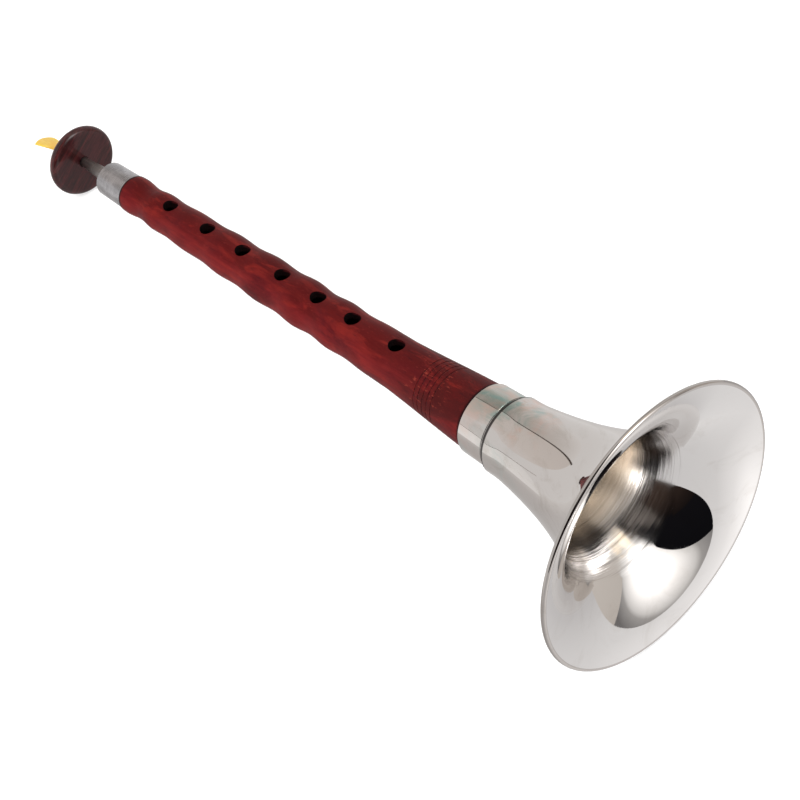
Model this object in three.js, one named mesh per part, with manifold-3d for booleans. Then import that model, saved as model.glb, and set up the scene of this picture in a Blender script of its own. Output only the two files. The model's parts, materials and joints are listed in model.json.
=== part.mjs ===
import * as THREE from 'three';
import { mergeVertices } from 'three/addons/utils/BufferGeometryUtils.js';
import Module from 'manifold-3d';

// A suona: a conical rosewood pipe with seven finger holes and a thumb hole, a spun
// metal bell, a tapered metal bocal with an air disc, and a double reed. It lies on its
// bell rim and its air disc with the finger holes upwards.
// Lengths are in millimetres. Each piece is drawn about its own bore axis, where a
// station is the distance from the plane of the bell's rim towards the reed.

const wasm = await Module();
wasm.setup();

// Fits shared by the pieces
const seatGap = 0.3;
const cutOverrun = 2;

// Bell
const bellRadius = 62.5;
const bellLength = 78.8;
const bellWall = 0.8;
const bellBeadRadius = 1.1;
const bellSocketLength = 6.2;
const bellFlarePower = 2 / 3;
const bellSides = 56;
const bellSteps = 15;
const bellBeadSides = 8;

// Lower ferrule, which the bell slides over
const lowerFerruleRadius = 16.4;
const lowerFerruleWall = 0.9;
const lowerFerruleTaper = 0.3;
const lowerFerruleShows = 15;
const lowerFerruleHidden = 24.8;
const ferruleSides = 44;

// Cork ring glued in the bell's throat, which centres the bell on the ferrule
const bellCorkLength = 10;
const bellCorkSetBack = 2.2;

// Pipe
const pipeShows = 245.9;
const pipeFootRadius = 15.3;
const pipeShoulderRadius = 9.4;
const boreFootRadius = 10.2;
const boreTopRadius = 4.4;
const pipeSides = 36;
const waveSteps = 3;
const footSteps = 4;

// Shares of the wood that shows, from the lower ferrule up
const holeShares = [0.209, 0.325, 0.419, 0.52, 0.637, 0.745, 0.863];
const blankHollowShare = 0.944;
const lastCrestShare = 0.987;
const crestBetweenShare = 0.47;
const thumbBetweenShare = 0.5;
const holeRadius = 3.9;
const holeSides = 16;

// Shares of the foot's radius: at each hollow, and at the crest above it
const hollowRadiusShares = [0.775, 0.716, 0.693, 0.69, 0.66, 0.634, 0.601, 0.559];
const crestRadiusShares = [0.765, 0.755, 0.752, 0.732, 0.693, 0.65, 0.627, 0.621];
const footEaseShare = 0.25;

// Fine rings turned in the pipe above its lower ferrule
const ringCount = 5;
const ringPitch = 2.75;
const ringWidth = 1;
const ringDepth = 0.3;
const firstRingHeight = 18.5;

// Top ferrule
const topFerruleLength = 20.4;
const topFerruleRadius = 9;
const topFerruleEndRadius = 8.6;
const topFerruleWall = 0.6;
const socketRadius = 5.4;
const socketDepth = 24;

// Bocal, its thread lapping and the air disc
const neckShows = 22.6;
const bocalShankRadius = 3.8;
const bocalTipRadius = 1.5;
const bocalWall = 0.55;
const bocalInReed = 6;
const bocalSides = 20;
const bocalLappingLength = 17;
const bocalLappingSetBack = 3;
const lappingSides = 30;
const discRadius = 18.24;
const discThickness = 5;
const discTravel = 3.6;
const discSides = 44;
const discEdgeSteps = 6;

// Reed and its wire binding
const reedLength = 25.4;
const reedWall = 0.5;
const reedRootLength = 7;
const reedTipHalfWidth = 5.8;
const reedTipHalfThickness = 0.72;
const reedTipBow = 2.5;
const reedTipShift = 3;
const reedTurn = THREE.MathUtils.degToRad(15);
const reedSides = 20;
const reedSteps = 7;
const wireRadius = 0.25;
const wirePitch = 0.95;
const wireLoops = 5;
const wireSetBack = 1.2;
const wireLoopSteps = 24;
const wireSides = 6;

// Stations that follow from the sizes
const lowerFerruleTop = bellLength + lowerFerruleShows;
const pipeFoot = bellLength - lowerFerruleHidden;
const topShoulder = lowerFerruleTop + pipeShows;
const topFerruleEnd = topShoulder + topFerruleLength;
const pipeTop = topFerruleEnd - topFerruleWall - seatGap;
const socketFoot = topFerruleEnd - socketDepth;
const discNear = topFerruleEnd + neckShows;
const discFar = discNear + discThickness;
const reedFoot = discFar + discTravel;
const reedTip = reedFoot + reedLength;
const bocalFoot = socketFoot + seatGap;
const bocalTip = reedFoot + bocalInReed;

const lerp = THREE.MathUtils.lerp;
const ease = (share) => (1 - Math.cos(Math.PI * share)) / 2;
const shareOf = (value, low, high) => (value - low) / (high - low);

// A profile point: x is the radius and y is the station
const at = (radius, station) => new THREE.Vector2(radius, station);

function positionsOnly(geometry) {
  geometry.deleteAttribute('normal');
  geometry.deleteAttribute('uv');
  return mergeVertices(geometry);
}

// Turns a closed profile about the bore axis. Half a side of turn puts a flat underneath.
function turned(profile, sides) {
  const outline = THREE.ShapeUtils.isClockWise(profile) ? [...profile].reverse() : profile;
  const halfSide = Math.PI / sides;
  const closed = [...outline, outline[0].clone()];
  return positionsOnly(new THREE.LatheGeometry(closed, sides, halfSide, 2 * Math.PI));
}

function toSolid(geometry) {
  const merged = positionsOnly(geometry);
  return new wasm.Manifold(new wasm.Mesh({
    numProp: 3,
    vertProperties: new Float32Array(merged.attributes.position.array),
    triVerts: new Uint32Array(merged.index.array),
  }));
}

function toGeometry(solid) {
  const mesh = solid.getMesh();
  const geometry = new THREE.BufferGeometry();
  geometry.setAttribute('position', new THREE.BufferAttribute(mesh.vertProperties, 3));
  geometry.setIndex(new THREE.BufferAttribute(mesh.triVerts, 1));
  return geometry;
}

// The bell's inner surface is a horn flare that meets its straight socket at the neck.
const socketInside = lowerFerruleRadius + seatGap;
const throatRadius = bellRadius - bellBeadRadius;
const neck = bellLength - bellSocketLength;
const flareLength = neck / ((throatRadius / socketInside) ** (1 / bellFlarePower) - 1);
const bellBeadFlat = bellBeadRadius * Math.tan(Math.PI / bellBeadSides);

function flareRadius(station) {
  return throatRadius * (1 + station / flareLength) ** -bellFlarePower;
}

function bellInnerLine() {
  const points = [at(throatRadius - bellBeadFlat, 0)];
  for (let i = 1; i <= bellSteps; i += 1) {
    const station = neck * (i / bellSteps) ** 2;
    points.push(at(flareRadius(station), station));
  }
  points.push(at(socketInside, bellLength));
  return points;
}

// Moves a line of points outwards, away from the bore, by the wall.
function offsetLine(points, wall) {
  return points.map((point, i) => {
    const before = points[Math.max(i - 1, 0)];
    const after = points[Math.min(i + 1, points.length - 1)];
    const along = after.clone().sub(before).normalize();
    return at(point.x + along.y * wall, point.y - along.x * wall);
  });
}

// The bead is rolled back from the mouth, with a flat side in the rim plane.
function bellBead() {
  const halfSide = Math.PI / bellBeadSides;
  const corner = bellBeadRadius / Math.cos(halfSide);
  const points = [];
  for (let i = 1; i < bellBeadSides - 1; i += 1) {
    const angle = (2 * i - 1) * halfSide;
    points.push(at(
      throatRadius + corner * Math.sin(angle),
      bellBeadRadius - corner * Math.cos(angle),
    ));
  }
  return points;
}

function bell() {
  const inner = bellInnerLine();
  const outer = offsetLine(inner, bellWall);
  const behindBead = outer.filter((point) => point.y > 2 * bellBeadRadius);
  return turned([...inner.reverse(), ...bellBead(), ...behindBead], bellSides);
}

// The ferrule is straight where the bell slides on it, and tapers a little above the bell.
function lowerFerrule() {
  const inside = lowerFerruleRadius - lowerFerruleWall;
  return turned([
    at(inside, pipeFoot),
    at(lowerFerruleRadius, pipeFoot),
    at(lowerFerruleRadius, bellLength),
    at(lowerFerruleRadius - lowerFerruleTaper, lowerFerruleTop),
    at(inside, lowerFerruleTop),
  ], ferruleSides);
}

function bellCork() {
  const inside = lowerFerruleRadius + seatGap;
  const low = pipeFoot + bellCorkSetBack;
  const high = low + bellCorkLength;
  return turned([
    at(inside, low),
    at(flareRadius(low) - seatGap, low),
    at(flareRadius(high) - seatGap, high),
    at(inside, high),
  ], ferruleSides);
}

// The pipe's outside: an easing foot, then hollows at the holes with crests between them.
const stationAtShare = (share) => lerp(lowerFerruleTop, topShoulder, share);
const hollows = [...holeShares, blankHollowShare].map(stationAtShare);
const crests = hollows.slice(1).map((high, i) => lerp(hollows[i], high, crestBetweenShare));
crests.push(stationAtShare(lastCrestShare));
const turningPoints = hollows.flatMap((hollow, i) => [
  at(pipeFootRadius * hollowRadiusShares[i], hollow),
  at(pipeFootRadius * crestRadiusShares[i], crests[i]),
]);

function footRadius(station) {
  const share = shareOf(station, lowerFerruleTop, hollows[0]);
  return lerp(pipeFootRadius, turningPoints[0].x, lerp(share, ease(share), footEaseShare));
}

function ringLine() {
  const points = [];
  for (let i = 0; i < ringCount; i += 1) {
    const middle = lowerFerruleTop + firstRingHeight + i * ringPitch;
    const low = middle - ringWidth / 2;
    const high = middle + ringWidth / 2;
    points.push(at(footRadius(low), low));
    points.push(at(footRadius(middle) - ringDepth, middle));
    points.push(at(footRadius(high), high));
  }
  return points;
}

function footLine() {
  const rings = ringLine();
  const aboveRings = rings[rings.length - 1].y;
  const below = lowerFerruleTop + seatGap;
  const points = [at(footRadius(below), below)];
  points.push(at(footRadius((below + rings[0].y) / 2), (below + rings[0].y) / 2));
  points.push(...rings);
  for (let i = 1; i < footSteps; i += 1) {
    const station = lerp(aboveRings, hollows[0], i / footSteps);
    points.push(at(footRadius(station), station));
  }
  return points;
}

function waveLine() {
  const points = [turningPoints[0]];
  for (let i = 1; i < turningPoints.length; i += 1) {
    const [before, next] = turningPoints.slice(i - 1, i + 1);
    for (let k = 1; k <= waveSteps; k += 1) {
      const share = k / waveSteps;
      points.push(at(
        lerp(before.x, next.x, ease(share)),
        lerp(before.y, next.y, share),
      ));
    }
  }
  return points;
}

const lowerTenonRadius = lowerFerruleRadius - lowerFerruleWall - seatGap;
const topTenonRadius = topFerruleEndRadius - topFerruleWall - seatGap;

function pipeBlank() {
  return turned([
    at(boreFootRadius, pipeFoot),
    at(lowerTenonRadius, pipeFoot),
    at(lowerTenonRadius, lowerFerruleTop + seatGap),
    ...footLine(),
    ...waveLine(),
    at(pipeShoulderRadius, topShoulder - seatGap),
    at(topTenonRadius, topShoulder - seatGap),
    at(topTenonRadius, pipeTop),
    at(socketRadius, pipeTop),
    at(socketRadius, socketFoot),
    at(boreTopRadius, socketFoot),
  ], pipeSides);
}

// A drill square to the pipe, from the bore out through the wall on one side.
function drill(station, side) {
  const reach = pipeFootRadius + cutOverrun;
  const cylinder = new THREE.CylinderGeometry(holeRadius, holeRadius, reach, holeSides);
  cylinder.rotateX(Math.PI / 2);
  cylinder.translate(0, station, side * reach / 2);
  return toSolid(cylinder);
}

function pipe() {
  const fingerHoles = holeShares.map((share) => drill(stationAtShare(share), 1));
  const [second, first] = holeShares.slice(-2).map(stationAtShare);
  const thumbHole = drill(lerp(second, first, thumbBetweenShare), -1);
  const holed = [...fingerHoles, thumbHole].reduce(
    (solid, hole) => solid.subtract(hole),
    toSolid(pipeBlank()),
  );
  return toGeometry(holed);
}

// The top ferrule is a cap: its far end turns in to the socket's mouth.
function topFerrule() {
  const low = topShoulder;
  const underCap = topFerruleEnd - topFerruleWall;
  return turned([
    at(topFerruleRadius - topFerruleWall, low),
    at(topFerruleRadius, low),
    at(topFerruleEndRadius, topFerruleEnd - topFerruleWall / 2),
    at(topFerruleEndRadius - topFerruleWall / 2, topFerruleEnd),
    at(socketRadius, topFerruleEnd),
    at(socketRadius, underCap),
    at(topFerruleEndRadius - topFerruleWall, underCap),
  ], ferruleSides);
}

// The bocal has a straight shank in its socket, and tapers from the socket's mouth to its tip.
function bocalRadius(station) {
  return lerp(bocalShankRadius, bocalTipRadius, shareOf(station, topFerruleEnd, bocalTip));
}

function bocal() {
  return turned([
    at(bocalShankRadius - bocalWall, bocalFoot),
    at(bocalShankRadius, bocalFoot),
    at(bocalShankRadius, topFerruleEnd),
    at(bocalTipRadius, bocalTip),
    at(bocalTipRadius - bocalWall, bocalTip),
    at(bocalShankRadius - bocalWall, topFerruleEnd),
  ], bocalSides);
}

function bocalLapping() {
  const high = topFerruleEnd - bocalLappingSetBack;
  const low = high - bocalLappingLength;
  const inside = bocalShankRadius + seatGap;
  return turned([
    at(inside, low),
    at(socketRadius - seatGap, low),
    at(socketRadius - seatGap, high),
    at(inside, high),
  ], lappingSides);
}

// A flat disc whose edge is a half round.
function airDisc() {
  const edge = discThickness / 2;
  const middle = discNear + edge;
  const points = [at(bocalRadius(discNear) + seatGap, discNear)];
  for (let i = 0; i <= discEdgeSteps; i += 1) {
    const angle = Math.PI * (i / discEdgeSteps - 1 / 2);
    points.push(at(discRadius - edge + edge * Math.cos(angle), middle + edge * Math.sin(angle)));
  }
  points.push(at(bocalRadius(discFar) + seatGap, discFar));
  return turned(points, discSides);
}

// The reed is a tube that opens from a round root into a flat fan, which leans to one side
// and has a bowed tip.
const reedRootRadius = bocalRadius(reedFoot) + seatGap + reedWall;

function reedRing(station, halfWidth, halfThickness, bow, shift) {
  const ring = [];
  for (let i = 0; i < reedSides; i += 1) {
    const angle = 2 * Math.PI * i / reedSides;
    const across = Math.cos(angle);
    ring.push(new THREE.Vector3(
      halfWidth * across - shift,
      station - bow * across * across,
      halfThickness * Math.sin(angle),
    ));
  }
  return ring;
}

function reedRings(wall) {
  const rings = [reedRing(reedFoot, reedRootRadius - wall, reedRootRadius - wall, 0, 0)];
  for (let i = 0; i <= reedSteps; i += 1) {
    const share = i / reedSteps;
    const station = lerp(reedFoot + reedRootLength, reedTip, share);
    const halfWidth = lerp(reedRootRadius, reedTipHalfWidth, (share + ease(share)) / 2);
    const halfThickness = lerp(reedRootRadius, reedTipHalfThickness, ease(Math.sqrt(share)));
    const bow = reedTipBow * share ** 2;
    const shift = reedTipShift * share;
    rings.push(reedRing(station, halfWidth - wall, halfThickness - wall, bow, shift));
  }
  return rings;
}

// Joins rings of equal counts into one closed surface, in the order given.
function skin(rings, closed) {
  const count = rings[0].length;
  const positions = rings.flat().flatMap((point) => point.toArray());
  const index = [];
  const spans = closed ? rings.length : rings.length - 1;
  for (let i = 0; i < spans; i += 1) {
    const next = (i + 1) % rings.length;
    for (let k = 0; k < count; k += 1) {
      const a = i * count + k;
      const b = i * count + (k + 1) % count;
      const c = next * count + (k + 1) % count;
      const d = next * count + k;
      index.push(a, b, c, a, c, d);
    }
  }
  if (!closed) {
    const last = (rings.length - 1) * count;
    for (let k = 1; k < count - 1; k += 1) {
      index.push(0, k + 1, k);
      index.push(last, last + k, last + k + 1);
    }
  }
  const geometry = new THREE.BufferGeometry();
  geometry.setAttribute('position', new THREE.Float32BufferAttribute(positions, 3));
  geometry.setIndex(index);
  return geometry;
}

function reed() {
  const outside = reedRings(0).reverse();
  const inside = reedRings(reedWall);
  return skin([...outside, ...inside], true).rotateY(reedTurn);
}

// The binding is one wire wound round the reed's root, a pitch apart.
const wireLineRadius = reedRootRadius + seatGap + wireRadius;
const wireFoot = reedFoot + wireSetBack;

function wireLine() {
  const steps = wireLoops * wireLoopSteps;
  const points = [];
  for (let i = 0; i <= steps; i += 1) {
    const angle = 2 * Math.PI * i / wireLoopSteps;
    points.push(new THREE.Vector3(
      wireLineRadius * Math.cos(angle),
      wireFoot + wirePitch * i / wireLoopSteps,
      wireLineRadius * Math.sin(angle),
    ));
  }
  const start = points[0].clone().sub(points[1]).setLength(2 * wireRadius).add(points[0]);
  const finish = points[steps].clone().sub(points[steps - 1]);
  const end = finish.setLength(2 * wireRadius).add(points[steps]);
  return [start, ...points, end];
}

function wireRing(points, i) {
  const before = points[Math.max(i - 1, 0)];
  const after = points[Math.min(i + 1, points.length - 1)];
  const along = after.clone().sub(before).normalize();
  const up = new THREE.Vector3(0, 1, 0).addScaledVector(along, -along.y).normalize();
  const out = new THREE.Vector3().crossVectors(up, along);
  const ring = [];
  for (let k = 0; k < wireSides; k += 1) {
    const angle = 2 * Math.PI * k / wireSides;
    const spoke = out.clone().multiplyScalar(wireRadius * Math.cos(angle));
    ring.push(spoke.addScaledVector(up, wireRadius * Math.sin(angle)).add(points[i]));
  }
  return ring;
}

// The least gap between one loop of the wire and the next, measured on its line's points.
function leastWireGap(points) {
  let least = Infinity;
  points.forEach((point, i) => {
    points.slice(i + wireLoopSteps / 2).forEach((other) => {
      least = Math.min(least, point.distanceTo(other) - 2 * wireRadius);
    });
  });
  return least;
}

function reedBinding() {
  const points = wireLine();
  console.log(`least gap of the reed binding to itself: ${leastWireGap(points).toFixed(2)} mm`);
  return skin(points.map((point, i) => wireRing(points, i)), false);
}

const finishes = {
  rosewood: { color: 0x6e1a16, roughness: 0.38, metalness: 0 },
  darkwood: { color: 0x3a1a1a, roughness: 0.3, metalness: 0 },
  nickel: { color: 0xd9d6d2, roughness: 0.08, metalness: 1 },
  brushed: { color: 0xa9a7a8, roughness: 0.38, metalness: 1 },
  cork: { color: 0xa9794a, roughness: 0.9, metalness: 0 },
  thread: { color: 0xd8cdb4, roughness: 0.85, metalness: 0 },
  cane: { color: 0xe3c05c, roughness: 0.5, metalness: 0 },
  copper: { color: 0xb0713f, roughness: 0.35, metalness: 1 },
};

function piece(name, geometry, finish) {
  const mesh = new THREE.Mesh(geometry, new THREE.MeshStandardMaterial(finishes[finish]));
  mesh.name = name;
  return mesh;
}

function aboutTheBore() {
  const instrument = new THREE.Group();
  instrument.add(
    piece('bell', bell(), 'nickel'),
    piece('bell_cork', bellCork(), 'cork'),
    piece('lower_ferrule', lowerFerrule(), 'nickel'),
    piece('pipe', pipe(), 'rosewood'),
    piece('top_ferrule', topFerrule(), 'brushed'),
    piece('bocal', bocal(), 'brushed'),
    piece('bocal_lapping', bocalLapping(), 'thread'),
    piece('air_disc', airDisc(), 'darkwood'),
    piece('reed', reed(), 'cane'),
    piece('reed_binding', reedBinding(), 'copper'),
  );
  return instrument;
}

// Lays the instrument down: the bell towards +X, the reed towards -X, and a slope that
// brings the flats under the bell's bead and under the disc's edge to the same height.
function laidDown(instrument) {
  const underBell = bellRadius * Math.cos(Math.PI / bellSides);
  const underDisc = discRadius * Math.cos(Math.PI / discSides);
  const apart = discNear + discThickness / 2 - bellBeadRadius;
  const slope = Math.atan2(underBell - underDisc, apart);
  instrument.rotation.set(0, -slope, Math.PI / 2, 'YZX');
  const suona = new THREE.Group();
  suona.add(instrument);
  const box = new THREE.Box3().setFromObject(suona, true);
  const middle = box.getCenter(new THREE.Vector3());
  instrument.position.set(-middle.x, -middle.y, -box.min.z);
  return suona;
}

export default laidDown(aboutTheBore());
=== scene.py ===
import json
import math

import bmesh
import bpy
import numpy as np
from mathutils import Euler, Matrix, Vector

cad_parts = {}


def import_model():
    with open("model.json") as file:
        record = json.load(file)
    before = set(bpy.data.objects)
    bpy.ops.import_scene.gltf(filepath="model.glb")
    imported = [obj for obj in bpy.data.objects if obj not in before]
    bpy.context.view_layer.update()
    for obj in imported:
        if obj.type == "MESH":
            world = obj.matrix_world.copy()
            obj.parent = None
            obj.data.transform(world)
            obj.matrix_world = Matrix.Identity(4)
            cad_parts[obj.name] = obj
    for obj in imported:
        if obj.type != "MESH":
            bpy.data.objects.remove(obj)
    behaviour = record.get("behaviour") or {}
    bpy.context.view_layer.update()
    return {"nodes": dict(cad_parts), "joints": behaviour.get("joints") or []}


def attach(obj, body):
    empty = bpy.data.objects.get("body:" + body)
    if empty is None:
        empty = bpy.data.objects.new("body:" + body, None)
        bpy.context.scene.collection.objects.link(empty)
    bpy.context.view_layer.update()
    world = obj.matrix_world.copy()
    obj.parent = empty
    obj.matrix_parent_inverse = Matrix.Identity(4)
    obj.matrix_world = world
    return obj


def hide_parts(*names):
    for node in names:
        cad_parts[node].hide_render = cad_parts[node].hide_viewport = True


# A suona that lies on its bell rim and its air disc. Lengths are in metres and angles in
# degrees, apart from the camera's lens, which is in millimetres.
# Each piece is drawn about the bore: X is sideways, Y is the station, which is the
# distance from the bell's rim plane towards the reed, and Z points up through the holes.

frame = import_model()

# Camera, in the bore's own axes
CAMERA_PLACE = (-0.310368, -0.320798, 0.529203)
CAMERA_TURN = (44.7328, 9.6134, -42.8259)
CAMERA_LENS = 81.615
CAMERA_CLIP = (0.05, 50)

# Bell
FLARE_POWER = 2 / 3
FLARE_NECK = 0.0726
BELL_WALL = 0.0008
BELL_BEAD = 0.0011
NECK_BLEND = 0.0003
BEAD_SWEEP = (178, -106)
BEAD_COVER_SHARE = 0.3

# Pipe
HOLE_SHARES = (0.209, 0.325, 0.419, 0.52, 0.637, 0.745, 0.863)
THUMB_BETWEEN = 0.5
HOLE_ACROSS = 0.0036
HOLE_ALONG = 0.0041

# Reed and its binding
REED_WALL = 0.0005
REED_ROOT = 0.007
REED_TIP_WIDE = 0.0058
REED_TIP_THICK = 0.00072
REED_TIP_BOW = 0.0025
REED_TIP_SHIFT = 0.003
REED_TURN = 15
WIRE_RADIUS = 0.00025
WIRE_PITCH = 0.00095
WIRE_LOOPS = 5
WIRE_SET_BACK = 0.0012
WIRE_END_SHARE = 0.5

# Small sizes that the finishing gives
EDGE = 0.0003
THREAD_PITCH = 0.0007
RIDGE_OFF_LIP = 0.0017
RIDGE_RADIUS = 0.0003
RIDGE_SWEEP = 80
GROOVE_WIDTH = 0.0006
GROOVE_DEPTH = 0.0002
DISC_EDGE_SHARE = 0.49

# How finely the pieces are cut: sides round the bore, steps in an arc and steps along
ROUND = 192
BELL_ROUND = 256
PIPE_ROUND = 160
BOCAL_ROUND = 96
HOLE_ROUND = 72
ARC = 8
BELL_STEPS = 130
BELL_CROWDING = 1.8
PIPE_STEP = 0.0008
LEAST_STEPS = 4
LAPPING_ROUND = 72
LAPPING_ROWS_PER_TURN = 6
REED_ROUND = 96
REED_STEPS = 48
WIRE_STEPS_PER_LOOP = 48
WIRE_ROUND = 12
SMOOTH_ANGLE = 35
SOFT_SMOOTH_ANGLE = 50
THREAD_SMOOTH_ANGLE = 60

# How near two stations are to be one, or one groove, and what share of its corners makes a
# ring whole
SAME_STATION = 0.00001
SAME_GROOVE = 0.0007
WHOLE_RING_SHARE = 0.7

# Which faces of the pipe are inside it: how far they look inwards, how far outside a hole's
# own outline their middles are, and how far up the walls of a hole look
INWARD_SHARE = 0.5
HOLE_OUTLINE_SHARE = 1.002
HOLE_WALL_UPWARD_SHARE = 0.3

# Sides of the turned nodes in the frame
BELL_SIDES = 56
FERRULE_SIDES = 44
PIPE_SIDES = 36


# The bore's own axes, from the joint that the bocal turns on and the bell's rim.
turn = next(j for j in frame["joints"] if j["name"] == "bocal_turn")
ALONG = Vector(turn["axis"]).normalized()
SIDE = Vector((0, 1, 0))
UPWARDS = SIDE.cross(ALONG)
rim_drop = min((v.co - Vector(turn["pos_m"])).dot(ALONG) for v in frame["nodes"]["bell"].data.vertices)
RIM = Vector(turn["pos_m"]) + ALONG * rim_drop
BORE = Matrix((SIDE, ALONG, UPWARDS)).transposed().to_4x4()
BORE.translation = RIM
TO_BORE = BORE.inverted()


def cad_points(node):
    """The node's corners as (radius, station) rows."""
    corners = {tuple(round(c, 7) for c in TO_BORE @ v.co) for v in frame["nodes"][node].data.vertices}
    return np.array([(math.hypot(x, z), y) for x, y, z in sorted(corners)])


def span(node):
    """The node's first and last station."""
    stations = cad_points(node)[:, 1]
    return stations.min(), stations.max()


def cad_line(node, low, high, least, sides):
    """The (station, radius) line of a turned node's whole rings, on the flats of its sides."""
    points = cad_points(node)
    points = points[points[:, 1].argsort()]
    apart = np.where(np.diff(points[:, 1]) > SAME_STATION)[0] + 1
    line = []
    for ring in np.split(points, apart):
        station = ring[:, 1].mean()
        if (ring[:, 0] > least).sum() > WHOLE_RING_SHARE * sides and low <= station <= high:
            line.append((station, ring[:, 0].max() * flat(sides)))
    return np.array(line)


def flat(sides):
    """How much nearer to the bore the flats of a turned node are than its corners."""
    return math.cos(math.pi / sides)


def ends(node):
    """The (least, greatest) radius at the node's first station, and at its last."""
    points = cad_points(node)
    low, high = span(node)
    found = []
    for station in (low, high):
        radii = points[abs(points[:, 1] - station) < SAME_STATION, 0]
        found.append((radii.min(), radii.max()))
    return found


# Sizes read from the frame
bell_high = span("bell")[1]
bell_radius = cad_points("bell")[:, 0].max() * flat(BELL_SIDES)
socket_radius = cad_points("bell")[:, 0].min() * flat(BELL_SIDES)
throat_radius = bell_radius - BELL_BEAD
flare_length = FLARE_NECK / ((throat_radius / socket_radius) ** (1 / FLARE_POWER) - 1)
disc_radius = cad_points("air_disc")[:, 0].max()
reed_low, reed_high = span("reed")
reed_root_radius = ends("reed")[0][1]


# Shapes

def smooth_line(knots, stations):
    """A curve through the knots that has no turning points of its own."""
    x, y = knots[:, 0], knots[:, 1]
    steps = np.diff(x)
    slopes = np.diff(y) / steps
    tangents = np.zeros(len(x))
    for i in range(1, len(x) - 1):
        if slopes[i - 1] * slopes[i] > 0:
            a = 2 * steps[i] + steps[i - 1]
            b = steps[i] + 2 * steps[i - 1]
            tangents[i] = (a + b) / (a / slopes[i - 1] + b / slopes[i])
    tangents[0], tangents[-1] = slopes[0], slopes[-1]
    k = np.clip(np.searchsorted(x, stations) - 1, 0, len(x) - 2)
    t = (stations - x[k]) / steps[k]
    rise = steps[k]
    return ((1 + 2 * t) * (1 - t) ** 2 * y[k] + t * (1 - t) ** 2 * rise * tangents[k]
            + t * t * (3 - 2 * t) * y[k + 1] + t * t * (t - 1) * rise * tangents[k + 1])


def rounded(corners, radii):
    """A closed outline whose corners are rounded, each by its own radius."""
    outline = []
    for i, corner in enumerate(corners):
        here = Vector(corner)
        if not radii[i]:
            outline.append(tuple(here))
            continue
        back = (Vector(corners[i - 1]) - here).normalized()
        ahead = (Vector(corners[(i + 1) % len(corners)]) - here).normalized()
        half = back.angle(ahead) / 2
        centre = here + (back + ahead).normalized() * radii[i] / math.sin(half)
        start = here + back * radii[i] / math.tan(half) - centre
        sweep = start.angle_signed(here + ahead * radii[i] / math.tan(half) - centre)
        for k in range(ARC + 1):
            spoke = Matrix.Rotation(-sweep * k / ARC, 2) @ start
            outline.append(tuple(centre + spoke))
    return outline


def add_piece(name, vertices, faces, smooth_angle=SMOOTH_ANGLE):
    """A new object in the bore's own axes, laid down with the bore."""
    mesh = bpy.data.meshes.new(name)
    mesh.from_pydata(vertices, [], faces)
    mesh.transform(BORE)
    work = bmesh.new()
    work.from_mesh(mesh)
    bmesh.ops.recalc_face_normals(work, faces=work.faces)
    work.to_mesh(mesh)
    work.free()
    mesh.shade_smooth()
    mesh.set_sharp_from_angle(angle=math.radians(smooth_angle))
    piece = bpy.data.objects.new(name, mesh)
    bpy.context.scene.collection.objects.link(piece)
    return piece


def grid_faces(rows, columns, closed_rows):
    """Quads between rings of points, each ring closed on itself."""
    faces = []
    for i in range(rows if closed_rows else rows - 1):
        j = (i + 1) % rows
        for k in range(columns):
            m = (k + 1) % columns
            faces.append((i * columns + k, i * columns + m, j * columns + m, j * columns + k))
    return faces


def turned(name, outline, segments=ROUND):
    """A closed outline of (radius, station) points, turned about the bore."""
    vertices = []
    for radius, station in outline:
        for k in range(segments):
            angle = 2 * math.pi * k / segments
            vertices.append((radius * math.cos(angle), station, radius * math.sin(angle)))
    return add_piece(name, vertices, grid_faces(len(outline), segments, True))


def finish_piece(piece, material, body, slot, *nodes):
    """Gives a piece its material and its body, and hides the nodes that it stands for. Its slot is not
    used.
    """
    piece.data.materials.append(material)
    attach(piece, body)
    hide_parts(*nodes)


# Nodes of a material

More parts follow.
